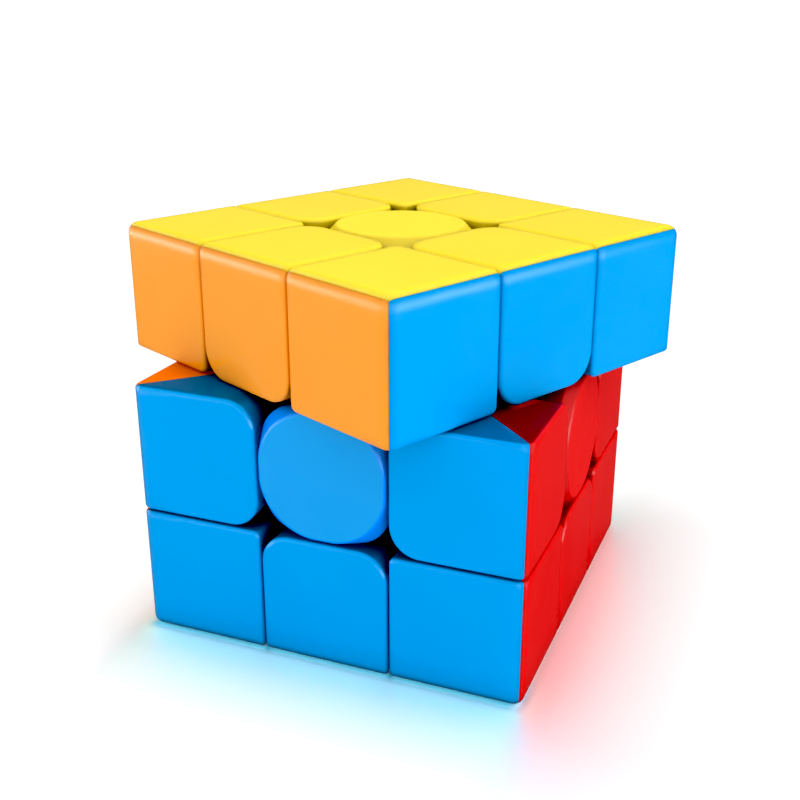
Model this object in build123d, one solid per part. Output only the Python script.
from build123d import *
import math
import os

# A 3 x 3 x 3 twisty puzzle cube, millimetres.
# Origin at the middle of the core, +Z up. The front (blue) face looks along -Y, the right (red)
# face along +X. The upper layer rests part way through a turn.
# One corner (+X +Y +Z), one edge (+Y +Z) and one centre (+Z) are built, then copied round.

# ---------------------------------------------------------------- driving dimensions
SIDE = 56.0                    # outside width of the cube
HALF = SIDE / 2                # outer faces
LAYER_PLANE = SIDE / 6         # planes between the layers
GAP = 0.15                     # each piece stands back this far from a layer plane
INNER_FACE = LAYER_PLANE + GAP # inner sides of corners and edges
MID_HALF = LAYER_PLANE - GAP   # half width of edges and centres
UPPER_TURN = 65.0              # turn of the upper layer, degrees anticlockwise from above

WALL = 1.5                     # wall of the coloured shells
SEAM = 0.02                    # half of the joint line between two glued shells
FIT = 0.05                     # gap between parts that sit against each other
OUTER_R = 1.5                  # rounding of the cube's outer edges
RIM_R = 0.5                    # rounding of each tile's rim next to a gap
RIM_BAND = 0.45                # rim edges lie within this depth of an outer face
TOLERANCE = 1e-6               # for picking edges on a plane
RIM_TOLERANCE = 0.01           # for picking rim edges

# Hooks: parts of a hollow ball, parted by cones about the six axes
HOOK_SPHERE_R = 19.0
HOOK_INNER_R = 11.0
CLEARANCE = 0.15               # each side stands back this far from the sphere and cones
CONE_ANGLE = 66.6              # half angle of the cones, degrees
CONE_HEIGHT = 24.0
CONE_SHIFT = CLEARANCE / math.sin(math.radians(CONE_ANGLE))  # tip shift giving CLEARANCE

FACE_COLOUR = {"upper": "yellow", "lower": "white", "front": "blue",
               "back": "green", "right": "red", "left": "orange"}
# Turns that take +Z to each face
FACE_TURN = {"upper": Rot(0, 0, 0), "lower": Rot(180, 0, 0), "front": Rot(90, 0, 0),
             "back": Rot(-90, 0, 0), "right": Rot(0, 90, 0), "left": Rot(0, -90, 0)}
LAYER_TURN = {"upper": Rot(0, 0, UPPER_TURN), "lower": Rot(0, 0, 0)}
X_OUT, Y_OUT, Z_OUT = Vector(1, 0, 0), Vector(0, 1, 0), Vector(0, 0, 1)


# ---------------------------------------------------------------- helpers
def span(x0, x1, y0, y1, z0, z1):
    middle = Pos((x0 + x1) / 2, (y0 + y1) / 2, (z0 + z1) / 2)
    return middle * Box(x1 - x0, y1 - y0, z1 - z0)


def cylinder(radius, low, high):
    """Cylinder about Z between two heights."""
    return Pos(0, 0, (low + high) / 2) * Cylinder(radius, high - low)


def cone_to(face, shift):
    """Cone opening towards a face, its tip moved that way by shift."""
    base_r = CONE_HEIGHT * math.tan(math.radians(CONE_ANGLE))
    return FACE_TURN[face] * (Pos(0, 0, CONE_HEIGHT / 2 + shift) * Cone(0, base_r, CONE_HEIGHT))


def beyond_seam(direction):
    """Big box standing in for the half space more than SEAM along direction."""
    reach = 60.0
    normal = direction.normalized()
    plane = Plane(origin=normal * SEAM, z_dir=normal)
    return plane * Pos(0, 0, reach) * Box(4 * reach, 4 * reach, 2 * reach)


def largest_solid(shape):
    return max(shape.solids(), key=lambda solid: solid.volume)


def samples(edge):
    return [edge @ t for t in (0.0, 0.25, 0.5, 0.75, 1.0)]


def edges_on_two_planes(shape, value):
    """Edges whose midpoint has exactly two coordinates equal to value."""
    return [e for e in shape.edges()
            if sum(abs(v - value) < TOLERANCE for v in tuple(e @ 0.5)) == 2]


def split_shells(hull, normals):
    """Cut a hull along its diagonals into (face normal, shell) pairs."""
    shells = []
    for normal in normals:
        shell = hull
        for other in normals:
            if other is not normal:
                shell = shell & beyond_seam(normal - other)
        shells.append((normal, largest_solid(shell)))
    return shells


# ---------------------------------------------------------------- corner piece, at +X +Y +Z
CORNER_INNER_R = 1.0           # plan radius of the tile's inner corner
CORNER_NECK = 22.5             # the foot ends and the shells begin at this radius
CORNER_PLUG_END = 24.0         # the plug fills the shells out to this plane
CORNER_PLUG_R = 25.5           # and this radius


def corner_body():
    body = span(INNER_FACE, HALF, INNER_FACE, HALF, INNER_FACE, HALF)
    body = fillet(edges_on_two_planes(body, INNER_FACE), CORNER_INNER_R)
    body = fillet(edges_on_two_planes(body, HALF), OUTER_R)
    inner_limit = INNER_FACE + CORNER_INNER_R + RIM_TOLERANCE
    rim = [e for e in body.edges()
           if all(max(tuple(p)) >= HALF - RIM_BAND and min(tuple(p)) <= inner_limit
                  for p in samples(e))]
    return largest_solid(fillet(rim, RIM_R))


def corner_shells(body):
    low, high = INNER_FACE + WALL, HALF - WALL
    hull = body - Sphere(CORNER_NECK) - span(low, high, low, high, low, high)
    return split_shells(hull, (X_OUT, Y_OUT, Z_OUT))


def corner_foot(body):
    hook = Sphere(HOOK_SPHERE_R - CLEARANCE) - Sphere(HOOK_INNER_R)
    for face in ("right", "back", "upper"):
        hook = hook & cone_to(face, CONE_SHIFT)
    low, high = INNER_FACE + WALL + FIT, CORNER_PLUG_END
    plug = span(low, high, low, high, low, high) & Sphere(CORNER_PLUG_R)
    return largest_solid((body & Sphere(CORNER_NECK - FIT)) + hook + plug)


# ---------------------------------------------------------------- edge piece, at +Y +Z
EDGE_INNER_R = 4.25            # plan radius of the tile's two inner corners
EDGE_NECK = 20.5               # the foot ends and the shells begin at this radius
EDGE_PLUG_END = 22.0
EDGE_PLUG_R = 22.6
EDGE_CAVITY_HALF = MID_HALF - WALL


def edge_body():
    body = span(-MID_HALF, MID_HALF, INNER_FACE, HALF, INNER_FACE, HALF)
    body = fillet(edges_on_two_planes(body, HALF), OUTER_R)
    # the rounded tile outline cuts the block along both Z and Y
    plan_end = HALF + 5
    plan = Pos(0, (INNER_FACE + plan_end) / 2) * Rectangle(2 * MID_HALF, plan_end - INNER_FACE)
    plan = fillet([v for v in plan.vertices() if v.Y < INNER_FACE + 1], EDGE_INNER_R)
    along_z = extrude(plan, 40)
    along_y = mirror(along_z, Plane(origin=(0, 0, 0), z_dir=(0, 1, -1)))
    body = largest_solid(body & along_z & along_y)
    side_limit = MID_HALF - EDGE_INNER_R - RIM_TOLERANCE
    inner_limit = INNER_FACE + EDGE_INNER_R + RIM_TOLERANCE
    rim = [e for e in body.edges()
           if all(max(p.Y, p.Z) >= HALF - RIM_BAND
                  and (abs(p.X) >= side_limit or min(p.Y, p.Z) <= inner_limit)
                  for p in samples(e))]
    return largest_solid(fillet(rim, RIM_R))


def edge_shells(body):
    low, high = INNER_FACE + WALL, HALF - WALL
    cavity = span(-EDGE_CAVITY_HALF, EDGE_CAVITY_HALF, low, high, low, high)
    return split_shells(body - Sphere(EDGE_NECK) - cavity, (Y_OUT, Z_OUT))


def edge_foot(body):
    hook = Sphere(HOOK_SPHERE_R - CLEARANCE) - Sphere(HOOK_INNER_R)
    hook = hook & cone_to("back", CONE_SHIFT) & cone_to("upper", CONE_SHIFT)
    hook = hook - cone_to("right", -CONE_SHIFT) - cone_to("left", -CONE_SHIFT)
    half = EDGE_CAVITY_HALF - FIT
    low, high = INNER_FACE + WALL + FIT, EDGE_PLUG_END
    plug = span(-half, half, low, high, low, high) & Sphere(EDGE_PLUG_R)
    # space swept by the corners' hooks
    side_cones = cone_to("right", -CONE_SHIFT) + cone_to("left", -CONE_SHIFT)
    corner_space = Sphere(HOOK_SPHERE_R + CLEARANCE) & side_cones
    return largest_solid(((body & Sphere(EDGE_NECK - FIT)) + plug - corner_space) + hook)


# ---------------------------------------------------------------- centre piece, at +Z
CAP_HALF, CAP_R = 9.12, 8.9    # cap outline at the outer face, nearly round
BASE_HALF, BASE_R = MID_HALF, 5.5  # outline lower down
CAP_DRAFT = 1.6                # depth of the cap's sloped flank
CAP_SKIRT = 4.2                # depth of the cap
CAP_BOTTOM = HALF - CAP_SKIRT
CAP_RIM_R = 0.45
CAP_WALL = 1.6
CAP_INNER_HALF, CAP_INNER_R = BASE_HALF - CAP_WALL, BASE_R - 1.2
RIB_WALL, RIB_INNER_R = 1.0, BASE_R - 2.0
RIB_DROP, RIB_HEIGHT = 1.6, 4.4  # reach below the cap, whole height

BASE_LOW = 10.0                # the base block starts here, before the sphere is cut out
SOCKET_FLOOR = 21.4            # floor of the recess for the cap's rib
STALK_LOW, STALK_TOP = 10.6, 19.0
STALK_SETBACK = 0.4            # stalk radius inside the parting cone
TUBE_LOW, TUBE_TOP, TUBE_WALL = 20.5, 23.5, 1.0
WELL_R, WELL_FLOOR = 3.3, 12.0 # spring well


def plate(half, radius, z):
    return Pos(0, 0, z) * RectangleRounded(2 * half, 2 * half, radius)


def centre_cap():
    flank = loft([plate(BASE_HALF, BASE_R, HALF - CAP_DRAFT), plate(CAP_HALF, CAP_R, HALF)],
                 ruled=True)
    skirt = extrude(plate(BASE_HALF, BASE_R, CAP_BOTTOM), CAP_SKIRT - CAP_DRAFT)
    cap = largest_solid(flank + skirt)
    rim = [e for e in cap.edges() if all(abs(p.Z - HALF) < TOLERANCE for p in samples(e))]
    cap = fillet(rim, CAP_RIM_R)
    cap = cap - extrude(plate(CAP_INNER_HALF, CAP_INNER_R, CAP_BOTTOM - 1),
                        CAP_SKIRT + 1 - CAP_WALL)
    # rib that locates the cap inside the base
    rib_low = CAP_BOTTOM - RIB_DROP
    rib = (extrude(plate(CAP_INNER_HALF, CAP_INNER_R, rib_low), RIB_HEIGHT)
           - extrude(plate(CAP_INNER_HALF - RIB_WALL, RIB_INNER_R, rib_low - 0.1),
                     RIB_HEIGHT + 0.2))
    return largest_solid(cap + rib)


def centre_base():
    block = extrude(plate(BASE_HALF, BASE_R, BASE_LOW), CAP_BOTTOM - FIT - BASE_LOW)
    base = block - Sphere(HOOK_SPHERE_R + CLEARANCE)
    base = base - extrude(plate(CAP_INNER_HALF + FIT, CAP_INNER_R + FIT, SOCKET_FLOOR), 10)
    slope = 1 / math.tan(math.radians(CONE_ANGLE))
    low_r = STALK_LOW * slope - STALK_SETBACK
    top_r = STALK_TOP * slope - STALK_SETBACK
    stalk = Pos(0, 0, (STALK_LOW + STALK_TOP) / 2) * Cone(low_r, top_r, STALK_TOP - STALK_LOW)
    neck = cylinder(top_r, STALK_TOP, SOCKET_FLOOR)
    tube = cylinder(WELL_R + TUBE_WALL, TUBE_LOW, TUBE_TOP)
    base = base + stalk + neck + tube
    base = base - cylinder(WELL_R, WELL_FLOOR, WELL_FLOOR + 16)
    base = base - cylinder(SHANK_R + 0.15, 8, 14)
    return largest_solid(base)


# ---------------------------------------------------------------- screw, seat and spring, along +Z
SHANK_R, SHANK_END = 1.4, 2.8  # screw shank and how near to the middle it ends
SHANK_CHAMFER = 0.5
HEAD_R, HEAD_LOW, HEAD_TOP = 2.9, 20.2, 22.0
HEAD_ROUNDING = 0.6
CROSS_LENGTH, CROSS_WIDTH, CROSS_DEPTH = 3.4, 0.7, 1.0
SEAT_THICKNESS, SEAT_R = 0.6, 3.1  # spring seat washer
SPRING_R, WIRE_R, SPRING_TURNS = 2.35, 0.27, 6.0


def spring_seat():
    washer = Cylinder(SEAT_R, SEAT_THICKNESS) - Cylinder(SHANK_R + 0.2, SEAT_THICKNESS + 1)
    return Pos(0, 0, WELL_FLOOR + FIT + SEAT_THICKNESS / 2) * washer


def spring():
    low = WELL_FLOOR + FIT + SEAT_THICKNESS + FIT + WIRE_R
    height = HEAD_LOW - FIT - WIRE_R - low
    coil = Helix(pitch=height / SPRING_TURNS, height=height, radius=SPRING_R)
    wire_face = Plane(origin=coil @ 0, z_dir=coil % 0) * Circle(WIRE_R)
    return largest_solid(Pos(0, 0, low) * sweep(wire_face, path=coil, is_frenet=True))


def screw():
    shank = cylinder(SHANK_R, SHANK_END, HEAD_LOW + 0.5)
    shank = chamfer([e for e in shank.edges() if (e @ 0.5).Z < SHANK_END + 0.1], SHANK_CHAMFER)
    head = cylinder(HEAD_R, HEAD_LOW, HEAD_TOP)
    head = fillet([e for e in head.edges() if (e @ 0.5).Z > HEAD_TOP - 0.1], HEAD_ROUNDING)
    cross = Pos(0, 0, HEAD_TOP) * (Box(CROSS_LENGTH, CROSS_WIDTH, 2 * CROSS_DEPTH)
                                   + Box(CROSS_WIDTH, CROSS_LENGTH, 2 * CROSS_DEPTH))
    return largest_solid(shank + head - cross)


# ---------------------------------------------------------------- core: ball with six arms
BALL_R = 7.0
ARM_R, ARM_TOP = 3.4, 10.3
COLLAR_R, COLLAR_LOW, COLLAR_TOP = ARM_R + 0.5, 6.9, 8.3


def core_body():
    core = Sphere(BALL_R)
    for turn in FACE_TURN.values():
        arm = cylinder(ARM_R, 0, ARM_TOP)
        collar = cylinder(COLLAR_R, COLLAR_LOW, COLLAR_TOP)
        core = core + turn * arm + turn * collar
    for turn in FACE_TURN.values():
        core = core - turn * cylinder(SHANK_R + FIT, SHANK_END - 0.3, 20)
    return core


# ---------------------------------------------------------------- placing copies
nodes = {}


def put(node, shape):
    nodes.setdefault(node, []).append(largest_solid(shape))


def face_towards(place, normal):
    """Name of the cube face that normal points to once turned by place."""
    direction = (place * Pos(*normal)).position
    return max(FACE_TURN,
               key=lambda face: direction.dot((FACE_TURN[face] * Pos(0, 0, 1)).position))


def put_outer_layer(layer):
    for k in range(4):
        place = Rot(0, 0, 90 * k) * FACE_TURN[layer]
        rest = LAYER_TURN[layer] * place
        for normal, shell in CORNER_SHELLS:
            colour = FACE_COLOUR[face_towards(place, normal)]
            put(f"{layer}_corner_shells_{colour}", rest * shell)
        put(f"{layer}_corner_feet", rest * CORNER_FOOT)
        for normal, shell in EDGE_SHELLS:
            face = face_towards(place, normal)
            plural = "s" if face in ("upper", "lower") else ""
            put(f"{layer}_edge_shell{plural}_{FACE_COLOUR[face]}", rest * shell)
        put(f"{layer}_edge_feet", rest * EDGE_FOOT)


def put_middle_edges():
    for k in range(4):
        place = Rot(0, 0, 90 * k) * Rot(0, 90, 0)  # stood upright, then round Z
        faces = [face_towards(place, normal) for normal, _ in EDGE_SHELLS]
        where = "_".join(sorted(faces, key=lambda f: f not in ("front", "back")))
        for face, (_, shell) in zip(faces, EDGE_SHELLS):
            put(f"{where}_edge_shell_{FACE_COLOUR[face]}", place * shell)
        put("middle_edge_feet", place * EDGE_FOOT)


def put_centres():
    cap, base, seat, coil, bolt = centre_cap(), centre_base(), spring_seat(), spring(), screw()
    for face, turn in FACE_TURN.items():
        rest = LAYER_TURN.get(face, Rot(0, 0, 0)) * turn
        put(f"{face}_centre_cap", rest * cap)
        put(f"{face}_centre_base", rest * base)
        # these stay with the core when a layer turns
        put(f"{face}_spring_seat", turn * seat)
        put(f"{face}_spring", turn * coil)
        put("centre_screws", turn * bolt)


CORNER = corner_body()
CORNER_SHELLS = corner_shells(CORNER)
CORNER_FOOT = corner_foot(CORNER)
EDGE = edge_body()
EDGE_SHELLS = edge_shells(EDGE)
EDGE_FOOT = edge_foot(EDGE)

put_outer_layer("upper")
put_outer_layer("lower")
put_middle_edges()
put_centres()
put("core", core_body())

os.makedirs("parts", exist_ok=True)
for node, solids in nodes.items():
    shape = solids[0] if len(solids) == 1 else Compound(children=solids)
    export_step(shape, f"parts/{node}.step")
